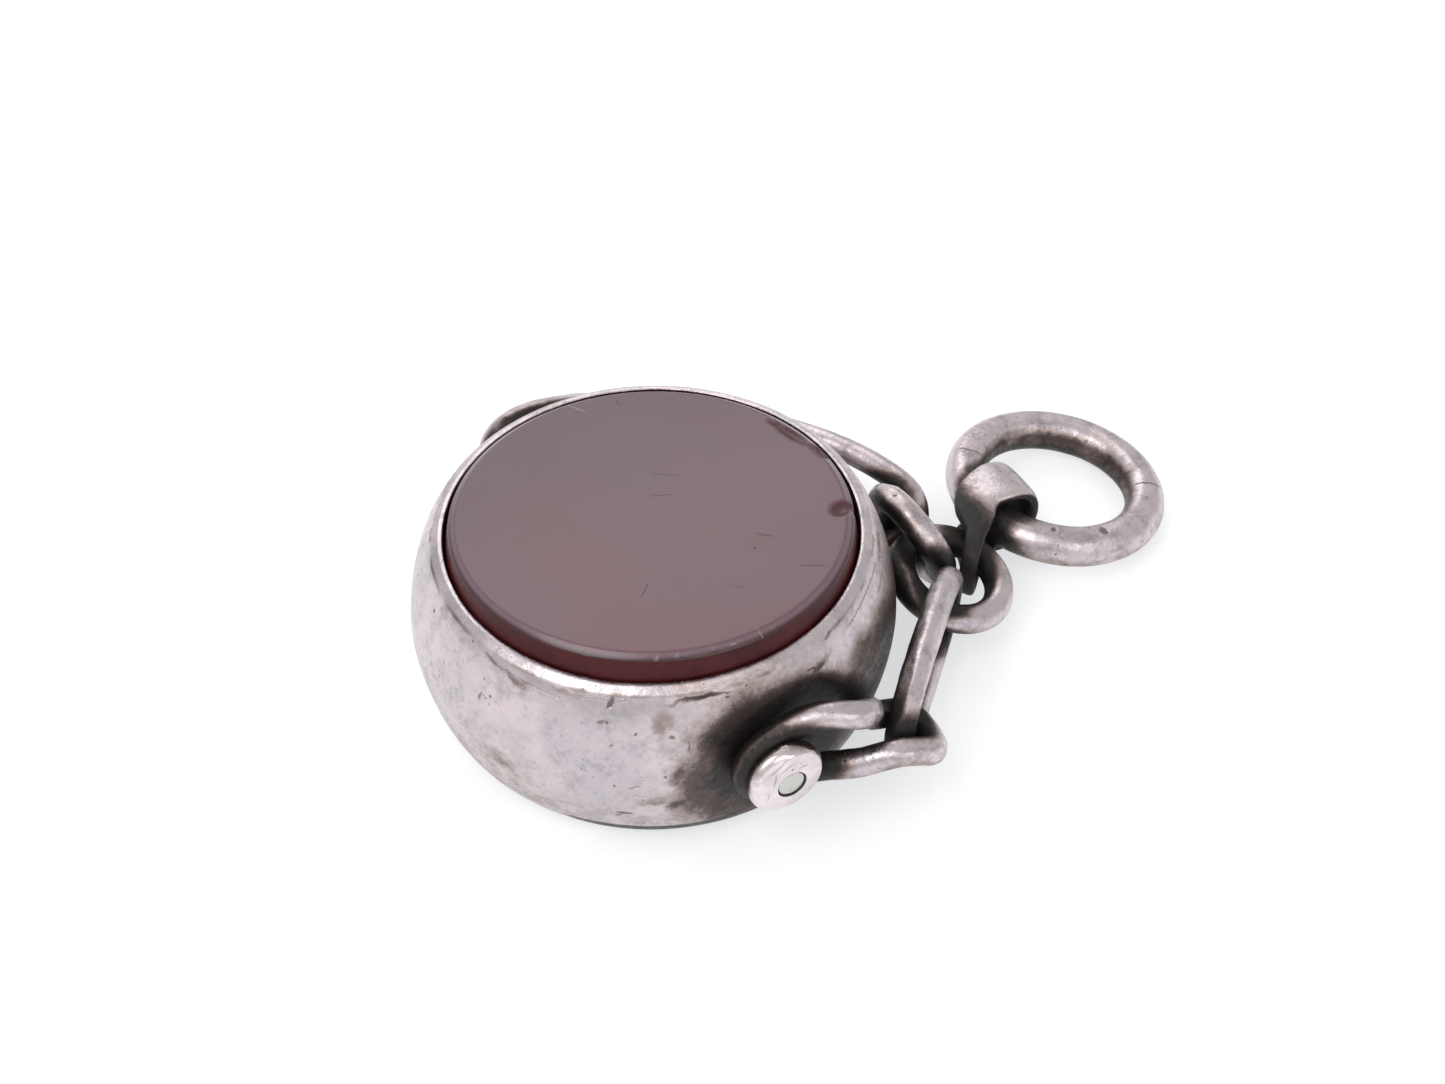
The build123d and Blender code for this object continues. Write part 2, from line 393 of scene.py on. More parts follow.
def wornSilver(finish, pale, cool, tarnishAndShade, scuffs, roughness=0.30, marks=None, paintedGlint=None,
               greyShare=0.65, depth=0.07):
    cloud = finish.noise(silverWear["cloud"], 4, 0.55)
    blotch = finish.noise(silverWear["blotch"], 5, 0.6, shift=4)
    mottle = finish.noise(silverWear["mottle"], 4, 0.65, shift=9)
    grain = finish.noise(silverWear["grain"], 3, 0.6, shift=2)
    spots = finish.specks(*silverWear["spots"])
    pits = finish.specks(*silverWear["pits"])
    lines = finish.scratches((0.3, 0.2, 0.6)).highest(finish.scratches((1.1, -0.3, 1.9), shift=7))
    colour = finish.mix(pale, cool, finish.ease(cloud * 0.6 + blotch * 0.4, 0.40, 0.60))
    grey = finish.ease(blotch * 0.55 + mottle * 0.45, 0.48, 0.64) * greyShare
    colour = finish.mix(colour, darker(cool, 0.55), grey)
    uneven = (blotch - 0.5) * 0.7 * finish.ease(tarnishAndShade, 0.02, 0.35)  # the tarnish and the painted shade are patchy where they are thin
    speckled = (mottle - 0.5) * 0.35 * finish.ease(tarnishAndShade, 0.02, 0.3)
    stainAndShade = tarnishAndShade + uneven + speckled
    # tarnish and painted shade darken the colour through warm and brown to black
    colour = finish.mix(colour, silverTones["warm"], finish.ease(stainAndShade, 0.08, 0.42))
    colour = finish.mix(colour, silverTones["brown"], finish.ease(stainAndShade, 0.34, 0.72))
    colour = finish.mix(colour, silverTones["black"], finish.ease(stainAndShade, 0.66, 1.0))
    dark = spots.highest(pits * 0.7).highest(lines * scuffs)
    if marks:
        dark = dark.highest(marks)
    if paintedGlint:
        colour = finish.mix(colour, silverTones["paintedGlint"], paintedGlint)
    colour = finish.mix(colour, silverTones["brown"], dark * 0.8)
    height = (blotch * 0.5 + mottle * 0.35 + grain * 0.12) - dark * 0.5
    bump = finish.bump(height, depth)
    rough = finish.ease(mottle, 0.3, 0.75, roughness - 0.07, roughness + 0.12)
    rough = rough + stainAndShade.highest(0.0) * 0.16 + dark * 0.2
    metal = 1 - finish.ease(stainAndShade, 0.5, 1.1) * 0.55
    return finish.done(Base_Color=colour, Metallic=metal, Roughness=rough.lowest(0.8), Normal=bump)


# The drum: where its halo of tarnish sits, and the marks on its band. A mark is at an angle round the drum
# and a height, with its half length, half width, turn from level and strength.
drum = dict(
    swell=1.88, roundness=1.63, base=0.5, height=10.65, wall=0.2, ledge=0.82, ledgeLow=4.575, ledgeHigh=7.075,
    around=620, along=120, rimWeight=6.0, wallWeight=0.12,  # weights: how densely a stretch gets its points
    lipDrop=0.28, lipOut=0.12, lipUnder=0.06,  # the burnished facet under the rim, and where it ends
    seatDistance=11.4, seatSoftness=0.45,
    # The wear's noise and the rim's each leave the surface as it is up to their calm share
    wearDepth=0.045, wearSize=3.2, wearCalm=0.25, rimWander=0.09, rimRipple=1.1, rimReach=0.35, rimCalm=0.3,
    seed=5,
    haloSize=(3.0, 6.4), frontWay=(-0.44, -0.90), rimLine=10.80,
    # Where each stretch of tarnish and of painted shade starts and is full: out along the pin, along x or y,
    # or up
    fades=dict(halo=(8.0, 10.6), rightX=(1.5, 8.5), rightUp=(10.6, 7.6), rightY=(6.0, -4.0), rim=(0.12, 0.03),
               low=(7.5, 1.0), left=(-8.0, -12.3), skirtUp=(2.15, 1.85), skirtFront=(10.0, 11.0)),
    # How strongly each darkens the band: the right side is tarnish with painted shade, the contact shade,
    # bottom and left are painted shade, the rest tarnish and dirt
    tarnishAndShade=dict(halo=0.76, rightShadeAndTarnish=0.80, rim=0.42, paintedShade=0.95, smudges=0.85, low=0.22, left=0.10,
                 patches=0.16),
    paintedGlintMark=((-3.6, -10.4, 11.2), (0.93, -0.35, 0), (0, 0, 1), (1.6, 0.5, 0.35)),  # a painted gold glint on the rim: place, way, facing, size
    marks=[
        (-127.9, 10.5, 0.42, 0.20, 65, 1.0), (-129.9, 9.6, 0.28, 0.13, 20, 0.7),
        (-125.0, 3.5, 0.55, 0.16, 4, 1.0), (-126.5, 3.2, 0.30, 0.10, 30, 0.8),
        (-161.4, 8.5, 0.32, 0.10, 75, 0.8), (-113.6, 8.9, 0.16, 0.13, 0, 0.9),
        (-127.4, 8.4, 0.14, 0.10, 0, 0.6), (-104.5, 8.2, 0.15, 0.10, 0, 0.8),
        (-185.0, 10.0, 0.14, 0.12, 0, 0.9), (-120.9, 2.3, 0.13, 0.10, 0, 0.9),
        (-122.4, 5.9, 0.45, 0.05, 25, 0.6), (-121.8, 5.2, 0.35, 0.05, -20, 0.5),
        (-152.0, 10.45, 2.8, 0.05, -3, 0.5), (-128.0, 10.62, 2.0, 0.04, 2, 0.4),
        (-50.0, 10.50, 3.0, 0.06, 2, 0.6), (-68.8, 10.75, 0.45, 0.14, 10, 0.8),
        (-77.0, 9.95, 0.40, 0.08, -12, 0.8), (-100.0, 10.4, 0.12, 0.10, 0, 0.9),
    ],
    smudges=[
        (-153.0, 10.3, 1.3, 0.42, -8, 0.55), (-160.4, 10.5, 0.9, 0.25, -12, 0.5),
        (-116.0, 9.7, 1.3, 0.75, 70, 0.55), (-106.0, 10.62, 2.6, 0.26, 0, 0.95),
        (-112.5, 6.5, 1.6, 0.85, 80, 0.75), (-112.4, 4.3, 1.2, 0.9, 20, 0.72),
        (-117.5, 4.7, 1.0, 0.5, 10, 0.5), (-110.5, 8.2, 1.0, 0.22, 84, 0.7),
        (-74.5, 9.9, 1.3, 0.45, 8, 0.8), (-31.0, 10.3, 2.3, 0.35, 4, 0.6), (-42.0, 9.7, 1.6, 0.30, 12, 0.5),
        (-60.0, 8.4, 3.4, 1.9, 0, 0.75), (-18.0, 8.9, 1.8, 0.4, -6, 0.5), (-4.0, 9.7, 1.5, 0.3, -8, 0.5),
        (-139.0, 10.6, 1.6, 0.22, -4, 0.45), (22.0, 8.0, 2.4, 1.2, 0, 0.5), (140.0, 7.2, 2.8, 1.5, 12, 0.4),
        (205.0, 5.0, 1.8, 0.9, -20, 0.35),
    ],
)


def bandRadius(share):
    fall = abs(2 * share - 1) ** drum["roundness"]
    return drumRadius - drum["swell"] * (1 - (1 - fall) ** (1 / drum["roundness"]))


def bandPoint(angle, height):  # a place on the band and the way it faces
    share = (height - drum["base"]) / drum["height"]
    turn = math.radians(angle)
    radius = bandRadius(share)
    slope = (bandRadius(min(share + 0.01, 1)) - bandRadius(max(share - 0.01, 0))) / (0.02 * drum["height"])
    out = Vector((math.cos(turn), math.sin(turn), 0))
    normal = (out - Vector((0, 0, slope))).normalized()
    return out * radius + Vector((0, 0, height)), normal, Vector((-math.sin(turn), math.cos(turn), 0))


def bandMarks(finish, where, rows, thickness=1.2, edge=0.5):
    spots = []
    for angle, height, length, width, turn, strength in rows:
        centre, normal, level = bandPoint(angle, height)
        up = normal.cross(level)
        along = level * math.cos(math.radians(turn)) + up * math.sin(math.radians(turn))
        spots.append(finish.mark(where, centre, along, normal, (length, width, thickness), edge) * strength)
    return strongest(spots)


def fromPin(finish):  # the distance from the pin's middle line
    x, z = finish.split(finish.place)[::2]
    up = z - pivotHeight
    return finish.math("SQRT", x * x + up * up)


def drumSilver():
    finish = Finish("drum_silver")
    shares, fades = drum["tarnishAndShade"], drum["fades"]
    x, y, z = finish.split(finish.place)
    low, high = drum["haloSize"]
    halo = finish.ease(fromPin(finish), high, low) * finish.ease(finish.math("ABSOLUTE", y), *fades["halo"])
    # tarnish with painted shade and a painted reflection of the links on the right of the band
    rightShadeAndTarnish = finish.ease(x, *fades["rightX"]) * finish.ease(z, *fades["rightUp"])
    rightShadeAndTarnish = rightShadeAndTarnish * finish.ease(y, *fades["rightY"])
    smudges = bandMarks(finish, finish.ragged(0.5, 1.1), drum["smudges"], 2.5, 0.1)
    rimLine = finish.ease(finish.math("ABSOLUTE", z - drum["rimLine"]), *fades["rim"])
    rimLine = rimLine * finish.ease(finish.noise(2.6, 2, 0.5, shift=21), 0.40, 0.62)
    front = x * drum["frontWay"][0] + y * drum["frontWay"][1]
    skirt = finish.ease(z + finish.noise(1.5, 2, 0.5, shift=31) * 0.3, *fades["skirtUp"])
    skirt = skirt * finish.ease(front, *fades["skirtFront"])  # painted shade: the front is black under its swell
    tarnishAndShade = (halo * shares["halo"] + rightShadeAndTarnish * shares["rightShadeAndTarnish"] + rimLine * shares["rim"]).lowest(0.92)
    # painted shade where the links and caps come close to the band
    tarnishAndShade = tarnishAndShade.highest(finish.attribute("paintedShade") * shares["paintedShade"]).highest(smudges * shares["smudges"])
    # painted shade: the band darker towards the bottom and on the left
    tarnishAndShade = tarnishAndShade + finish.ease(z, *fades["low"]) * shares["low"]
    tarnishAndShade = tarnishAndShade + finish.ease(x, *fades["left"]) * shares["left"]
    patches = finish.ease(finish.noise(3.2, 4, 0.6, shift=11), 0.55, 0.75)
    tarnishAndShade = (tarnishAndShade + patches * shares["patches"]).highest(skirt)
    marks = bandMarks(finish, finish.ragged(0.09, 0.25), drum["marks"])
    # painted glint: a gold tint on the rim
    paintedGlint = finish.mark(finish.place, *drum["paintedGlintMark"], 0.1) * 0.8
    return wornSilver(finish, silverTones["pale"], silverTones["cool"], tarnishAndShade, 0.6, 0.30, marks, paintedGlint,
                      greyShare=0.40)


def turnedRecipe():  # a profile carried round the upright, with flat seats, a wandering rim and wear
    recipe = Recipe("turnedBand", {
        "Around": "count", "Along": "count", "Seat distance": "size", "Seat softness": "size",
        "Rim height": "size", "Rim wander": "size", "Wear depth": "size", "Wear size": "size", "Seed": "size",
        "Finish": "finish"})
    grid = recipe.node("GeometryNodeMeshGrid", {}, {
        "Size X": 1.0, "Size Y": 1.0,
        "Vertices X": recipe.input("Around") + 1, "Vertices Y": recipe.input("Along") + 1})
    flat = recipe.node("GeometryNodeInputPosition")
    across, along = recipe.split(flat)[:2]
    angle = (across + 0.5) * (2 * math.pi)
    number = recipe.math("ROUND", (along + 0.5) * recipe.input("Along"))
    profile = recipe.node("GeometryNodeSampleIndex", {"data_type": "FLOAT_VECTOR", "domain": "POINT"}, {
        "Geometry": recipe.input("Shape"), "Value": flat, "Index": number})
    radius, height = recipe.split(profile)[::2]
    turned = recipe.node("ShaderNodeCombineXYZ", {}, {
        "X": radius * recipe.math("COSINE", angle), "Y": radius * recipe.math("SINE", angle), "Z": height})
    shape = recipe.node("GeometryNodeSetPosition", {}, {"Geometry": grid, "Position": turned})
    shape = recipe.node("GeometryNodeMergeByDistance", {}, {"Geometry": shape, "Distance": 1e-7})
    here = recipe.node("GeometryNodeInputPosition")
    x, y, z = recipe.split(here)
    distance, softness = recipe.input("Seat distance"), recipe.input("Seat softness")
    cut = recipe.math("SMOOTH_MIN", recipe.math("ABSOLUTE", y), distance, softness)
    seated = recipe.node("ShaderNodeCombineXYZ", {}, {"X": x, "Y": cut * recipe.math("SIGN", y), "Z": z})
    shape = recipe.node("GeometryNodeSetPosition", {}, {"Geometry": shape, "Position": seated})
    ripple = recipe.node("ShaderNodeTexNoise", {"noise_dimensions": "4D"}, {
        "Vector": here, "W": recipe.input("Seed"), "Scale": 1 / (drum["rimRipple"] * mm), "Detail": 2.0})
    nearRim = recipe.ease(z, recipe.input("Rim height") - drum["rimReach"] * mm, recipe.input("Rim height"))
    sink = (ripple - drum["rimCalm"]).highest(0.0) * nearRim * recipe.input("Rim wander")
    drop = recipe.node("ShaderNodeCombineXYZ", {}, {"Z": sink * -1})
    shape = recipe.node("GeometryNodeSetPosition", {}, {"Geometry": shape, "Offset": drop})
    swell = recipe.node("ShaderNodeTexNoise", {"noise_dimensions": "4D"}, {
        "Vector": here, "W": recipe.input("Seed") + 7, "Scale": 1 / recipe.input("Wear size"), "Detail": 2.0})
    wear = (swell - drum["wearCalm"]).highest(0.0) * recipe.input("Wear depth") * -1
    offset = recipe.vector("SCALE", recipe.node("GeometryNodeInputNormal"), scale=wear)
    shape = recipe.node("GeometryNodeSetPosition", {}, {"Geometry": shape, "Offset": offset})
    recipe.finish(shape)
    return recipe


def drumProfile():
    end = drumRadius - drum["swell"]
    bezel = end - drum["wall"]
    inner = bezel - drum["ledge"]
    top = drum["base"] + drum["height"]
    facet = (drum["height"] - drum["lipDrop"]) / drum["height"]
    turns = [0.5 - 0.5 * math.cos(math.pi * index / 64) for index in range(65)]
    facetHeight = drum["base"] + facet * drum["height"]
    band = [(bandRadius(share), drum["base"] + share * drum["height"])
            for share in turns if share < facet - 0.004]
    edge = bandRadius(facet)
    band.append((edge, facetHeight))
    for step in (0.25, 0.5, 0.75, 0.93):  # the burnished facet, a straight slope up to the rim's outer edge
        band.append((edge + (end + drum["lipOut"] - edge) * step,
                     top - drum["lipDrop"] + (drum["lipDrop"] - drum["lipUnder"]) * step))
    rim = [(end + 0.10, top - 0.035), (end + 0.05, top - 0.008), (end, top), (bezel + 0.08, top),
           (bezel + 0.02, top - 0.02), (bezel, top - 0.09)]
    low, high = drum["ledgeLow"], drum["ledgeHigh"]
    wall = [(bezel, high), (inner, high), (inner, low), (bezel, low), (bezel, drum["base"] + 0.05),
            (bezel + 0.05, drum["base"])]
    points = band + rim + wall + [band[0]]
    return [(radius, 0, height) for radius, height in points]


def evenProfile(points, count, weights):  # resamples a profile so that shown stretches get more points
    points = np.array(points, float)
    lengths = np.linalg.norm(np.diff(points, axis=0), axis=1) * weights
    marks = np.concatenate([[0], np.cumsum(lengths)])
    wanted = np.linspace(0, marks[-1], count + 1)
    return np.stack([np.interp(wanted, marks, points[:, axis]) for axis in range(3)], axis=1)


def stretchWeight(start, end):  # the rim gets many points and the hidden wall few
    radius, height = start[0], start[2]
    if radius > 10.4 and height > 10.5:
        return drum["rimWeight"]
    if radius < 10.5 and 0.6 < end[2] < 11:
        return drum["wallWeight"]
    return 1.0


drumFinish = drumSilver()
profile = drumProfile()
weights = np.array([stretchWeight(*pair) for pair in zip(profile, profile[1:])])
profile = evenProfile(profile, drum["along"], weights)
band = turnedRecipe().run("drumBand", polyline("drumProfile", profile, False), {
    "Around": drum["around"], "Along": drum["along"], "Seat distance": drum["seatDistance"] * mm,
    "Seat softness": drum["seatSoftness"] * mm, "Rim height": (drum["base"] + drum["height"]) * mm,
    "Rim wander": drum["rimWander"] * mm, "Wear depth": drum["wearDepth"] * mm,
    "Wear size": drum["wearSize"] * mm, "Seed": float(drum["seed"]), "Finish": drumFinish})
print("drum", len(band.data.polygons))


# The links and rings: round wire along a closed route, with filed flats that come and go, and wear
wire = dict(sides=36, steps=240, swaySize=2.4, sway=0.35, calm=0.3)


def wireRecipe():
    recipe = Recipe("wireLoop", {
        "Wire radius": "size", "Sides": "count", "Steps": "count", "Flat one": "vector", "Flat two": "vector",
        "Flat share": "size", "Wear depth": "size", "Wear size": "size", "Seed": "size", "Finish": "finish"})
    curve = recipe.node("GeometryNodeMeshToCurve", {}, {"Mesh": recipe.input("Shape")})
    curve = recipe.node("GeometryNodeResampleCurve", {}, {"Curve": curve, "Count": recipe.input("Steps")})
    here = recipe.node("GeometryNodeInputPosition")
    curve = recipe.node("GeometryNodeStoreNamedAttribute", {"data_type": "FLOAT_VECTOR", "domain": "POINT"}, {
        "Geometry": curve, "Name": "middle", "Value": here})
    radius = recipe.input("Wire radius")
    section = recipe.node("GeometryNodeCurvePrimitiveCircle", {"mode": "RADIUS"}, {
        "Resolution": recipe.input("Sides"), "Radius": radius})
    shape = recipe.node("GeometryNodeCurveToMesh", {}, {"Curve": curve, "Profile Curve": section})
    middle = recipe.node("GeometryNodeInputNamedAttribute", {"data_type": "FLOAT_VECTOR"}, {"Name": "middle"})
    offset = recipe.vector("SUBTRACT", here, middle)
    sway = recipe.node("ShaderNodeTexNoise", {"noise_dimensions": "4D"}, {
        "Vector": middle, "W": recipe.input("Seed"), "Scale": 1 / (wire["swaySize"] * mm), "Detail": 1.0})
    limit = radius * (recipe.input("Flat share") + (sway - 0.5) * wire["sway"])
    for label in ("Flat one", "Flat two"):  # a flat holds the wire's surface back along its direction
        facing = recipe.vector("NORMALIZE", recipe.input(label))
        over = (recipe.vector("DOT_PRODUCT", offset, facing, output=1) - limit).highest(0.0)
        offset = recipe.vector("SUBTRACT", offset, recipe.vector("SCALE", facing, scale=over))
    rough = recipe.node("ShaderNodeTexNoise", {"noise_dimensions": "4D"}, {
        "Vector": here, "W": recipe.input("Seed") + 3, "Scale": 1 / recipe.input("Wear size"), "Detail": 3.0})
    wear = (rough - wire["calm"]).highest(0.0) * recipe.input("Wear depth") / radius
    offset = recipe.vector("SCALE", offset, scale=1 - wear)
    bent = recipe.vector("ADD", middle, offset)
    shape = recipe.node("GeometryNodeSetPosition", {}, {"Geometry": shape, "Position": bent})
    recipe.finish(shape)
    return recipe


def ovalRoute(centre, along, side, length, width, wire, bow=np.zeros(3)):
    line = []
    for index in range(ovalPoints):
        reach, spread = squareTurn(2 * math.pi * index / ovalPoints, linkRoundness)
        line.append(centre + along * reach * (length - wire) / 2 + side * spread * (width - wire) / 2
                    + bow * (1 - reach ** 2))
    return smoothLoop(line, routeSteps)


def rolledRoute(row):  # an oval link that points along its yaw and rise
    along = pointing(row["yaw"], row["rise"])
    level = unit(np.cross([0, 0, 1], along))
    roll = math.radians(row["roll"])
    side = level * math.cos(roll) + np.cross(along, level) * math.sin(roll)
    length, width = row["length"] * drumRadius, row["width"] * drumRadius
    return ovalRoute(place(row), along, side, length, width, row["wire"])


def pivotRoute(row, side):  # a twisted link on the pin: x, out from the link's plane, up from the pin
    line = [(x * drumRadius, side * (linkPlane + out * drumRadius), pivotHeight + up * drumRadius)
            for x, out, up in row["route"]]
    return smoothLoop(line, pivotSteps)


def ringRoute(centre, normal, radius):
    first = unit(np.cross([0, 1, 0], normal))
    second = np.cross(normal, first)
    turns = np.arange(routeSteps) * 2 * math.pi / routeSteps
    steps = [first * math.cos(turn) + second * math.sin(turn) for turn in turns]
    return np.array([np.array(centre) + radius * step for step in steps])


def roundRoute(row):  # a plain ring that faces along its yaw and rise
    radius = (row["diameter"] * drumRadius - row["wire"]) / 2
    return ringRoute(place(row), pointing(row["yaw"], row["rise"]), radius)


def bowedRoute(row):  # the long link that bends round the drum
    start, end = place(row["start"]), place(row["end"])
    along = unit(end - start)
    side = np.array(row["side"])
    side = unit(side - along * side.dot(along))
    bow = np.array(row["bow"]) * drumRadius
    length = np.linalg.norm(end - start) + row["wire"]
    return ovalRoute((start + end) / 2, along, side, length, row["width"] * drumRadius, row["wire"], bow)


# Each loop has its wire, the ways its two filed flats face, how far out they stand, and its wear
nearPivotLink = dict(
    wire=1.48, flatOne=(0.10, -0.30, 0.95), flatTwo=(0.30, -0.93, 0.20), flatShare=0.90,
    wearDepth=0.10, wearSize=0.9,
    route=[
        (-0.128, 0.000, -0.024), (-0.092, 0.000, 0.084), (0.032, -0.004, 0.144), (0.192, 0.036, 0.189),
        (0.327, 0.081, 0.167), (0.422, 0.014, 0.065), (0.493, -0.042, -0.056), (0.618, -0.022, -0.097),
        (0.650, 0.090, -0.124), (0.598, 0.198, -0.081), (0.489, 0.194, -0.029), (0.323, 0.113, -0.082),
        (0.136, 0.000, -0.136), (-0.044, -0.008, -0.128),
    ],
)
farPivotLink = dict(
    wire=1.48, flatOne=(0.1, 0.3, 0.95), flatTwo=(0.3, 0.93, 0.2), flatShare=0.92,
    wearDepth=0.09, wearSize=1.0,
    route=[
        (-0.258, 0.000, 0.176), (-0.186, 0.000, 0.262), (-0.050, 0.000, 0.280), (0.142, 0.010, 0.234),
        (0.299, 0.046, 0.117), (0.408, 0.020, -0.019), (0.483, -0.035, -0.133), (0.603, -0.029, -0.201),
        (0.639, 0.081, -0.245), (0.579, 0.195, -0.223), (0.473, 0.197, -0.179), (0.297, 0.114, -0.207),
        (0.096, 0.004, -0.178), (-0.100, 0.000, -0.102), (-0.218, 0.000, 0.038),
    ],
)
nearLongLink = dict(
    wire=1.5, flatOne=(0.15, -0.75, 0.65), flatTwo=(-0.55, 0.10, 0.83), flatShare=0.88,
    wearDepth=0.08, wearSize=1.1,
    x=0.862, y=-0.739, up=-0.140, yaw=44.3, rise=-6.9, roll=91.8, length=1.073, width=0.504,
)
nearRing = dict(
    wire=1.6, flatOne=(0.3, -0.4, 0.87), flatTwo=(0.7, -0.7, 0.1), flatShare=0.93,
    wearDepth=0.06, wearSize=1.3,
    x=1.248, y=-0.352, up=-0.189, yaw=-38.4, rise=72.8, diameter=0.577,
)
farRing = dict(
    wire=1.6, flatOne=(-0.4, 0.2, 0.89), flatTwo=(0.5, 0.5, 0.7), flatShare=0.93,
    wearDepth=0.05, wearSize=1.4,
    x=1.233, y=-0.065, up=-0.163, yaw=-73.9, rise=-28.1, roll=115.0, length=0.528, width=0.609,
)
farLongLink = dict(
    wire=1.4, flatOne=(-0.2, 0.3, 0.93), flatTwo=(0.3, 0.9, 0.3), flatShare=0.92,
    wearDepth=0.06, wearSize=1.4,
    start=dict(x=0.517, y=1.068, up=-0.190), end=dict(x=1.298, y=0.002, up=-0.173),
    bow=(0.043, 0.095, -0.061), side=(0.54, 0.45, 0.70), width=0.532,
)
topRing = dict(
    wire=2.25, flatOne=(0.139, 0, 0.990), flatTwo=(0.2, -0.8, 0.55), flatShare=0.96,
    # inner: how strongly painted shade darkens the ring's inner side
    wearDepth=0.05, wearSize=1.8, inner=0.62,
    centre=(25.775, 0, 1.905), tilt=8.0, radius=5.175,
    marks=[(136, 1.1, 0.10), (328, 1.1, 0.11), (263, 0.5, 0.35), (231, 0.25, 0.28)],  # angle, length, width
)
ringMiddle = Vector(topRing["centre"])
ringUp = Vector(pointing(0, 90 - topRing["tilt"]))
topRoute = ringRoute(topRing["centre"], pointing(0, 90 - topRing["tilt"]), topRing["radius"])

loops = dict(  # the wire pieces, the CAD node that each stands for, and their routes
    nearPivotWire=dict(nearPivotLink, node="near_pivot_link", line=pivotRoute(nearPivotLink, -1)),
    nearLongWire=dict(nearLongLink, node="near_long_link", line=rolledRoute(nearLongLink)),
    nearRoundWire=dict(nearRing, node="near_ring", line=roundRoute(nearRing)),
    farRoundWire=dict(farRing, node="far_ring", line=rolledRoute(farRing)),
    farLongWire=dict(farLongLink, node="far_long_link", line=bowedRoute(farLongLink)),
    farPivotWire=dict(farPivotLink, node="far_pivot_link", line=pivotRoute(farPivotLink, 1)),
    topWire=dict(topRing, node="top_ring", line=topRoute),
)

# How strongly the painted shade at a contact, on the inner side and on the underside of a loop darkens it,
# and how strongly its tarnish patches do
linkShadeAndTarnish = dict(paintedShade=1.05, inner=0.80, under=0.42, patches=0.25)


def linkSilver(name, marks=(), shift=0.0, inner=linkShadeAndTarnish["inner"], neck=None):
    finish = Finish(name)
    patch = finish.ease(finish.noise(2.2, 4, 0.6, shift=11 + shift), 0.50, 0.70)
    # painted shade near contacts, on the inner side and on the underside, over patches of tarnish
    tarnishAndShade = finish.attribute("paintedShade") * linkShadeAndTarnish["paintedShade"] + finish.attribute("inner") * inner
    tarnishAndShade = (tarnishAndShade + finish.attribute("under") * linkShadeAndTarnish["under"]).lowest(1.1)
    tarnishAndShade = tarnishAndShade + patch * linkShadeAndTarnish["patches"]
    if neck:  # painted shade: the strap turns black between these two distances from the drum's middle
        tarnishAndShade = tarnishAndShade + finish.ease(finish.split(finish.place)[0], neck[1], neck[0])
    where = finish.ragged(0.12, 0.3)
    spots = strongest([finish.mark(where, *mark, 0.5) for mark in marks])
    return wornSilver(finish, silverTones["pale"], silverTones["cool"], tarnishAndShade, 0.7, 0.31, spots)


def ringMark(angle, length, width):  # a line across the top ring's wire
    turn, lift = math.radians(angle), math.radians(topRing["tilt"])
    out = Vector((math.cos(turn) * math.cos(lift), math.sin(turn), -math.cos(turn) * math.sin(lift)))
    level = ringUp.cross(out)
    return (ringMiddle + out * topRing["radius"] + ringUp * 0.5, level, ringUp, (width, length, 1.3))


ringMarks = [ringMark(*mark) for mark in topRing["marks"]]
ringFinish = linkSilver("ring_silver", ringMarks, 2.0, topRing["inner"])
linkFinish = linkSilver("link_silver")
wires = wireRecipe()
pieces = {}
for number, (name, loop) in enumerate(loops.items()):
    pieces[name] = wires.run(name, polyline(name + "Route", loop["line"], True), {
        "Wire radius": loop["wire"] / 2 * mm, "Sides": wire["sides"], "Steps": wire["steps"],
        "Flat one": loop["flatOne"], "Flat two": loop["flatTwo"], "Flat share": loop["flatShare"],
        "Wear depth": loop["wearDepth"] * mm, "Wear size": loop["wearSize"] * mm,
        "Seed": float(number * 5 + 2), "Finish": ringFinish if name == "topWire" else linkFinish})
    print(name, len(pieces[name].data.polygons))


# The bail: a strap folded round the top ring, pinched to a neck that holds the near ring.
# Each section has its x, y and height as a link's, the turn of its width, and shares of width and thickness.
bail = dict(
    width=3.0, thickness=0.75, fill=0.97,  # fill: the share of its thickness that the strap takes up
    # neck: where painted shade blackens the strap; inner: how strongly painted shade darkens its inner side
    steps=220, sides=40, corner=3.6, neck=(18.6, 20.4), inner=0.9,
    sections=[
        (1.851, -0.020, -0.256, 0, 1.00, 1.0), (1.811, -0.020, -0.151, 0, 1.00, 1.0),
        (1.707, -0.020, -0.112, 0, 1.00, 1.0), (1.599, -0.044, -0.120, 10, 0.85, 1.0),
        (1.511, -0.144, -0.107, 30, 0.72, 1.0), (1.435, -0.256, -0.096, 36, 0.36, 0.9),
        (1.359, -0.336, -0.124, 32, 0.30, 0.9), (1.337, -0.354, -0.215, 32, 0.30, 0.9),
        (1.355, -0.336, -0.320, 32, 0.30, 0.9), (1.435, -0.248, -0.331, 36, 0.36, 0.9),
        (1.523, -0.144, -0.351, 30, 0.72, 1.0), (1.607, -0.044, -0.392, 10, 0.85, 1.0),
        (1.707, -0.020, -0.403, 0, 1.00, 1.0), (1.811, -0.020, -0.359, 0, 1.00, 1.0),
    ],
)


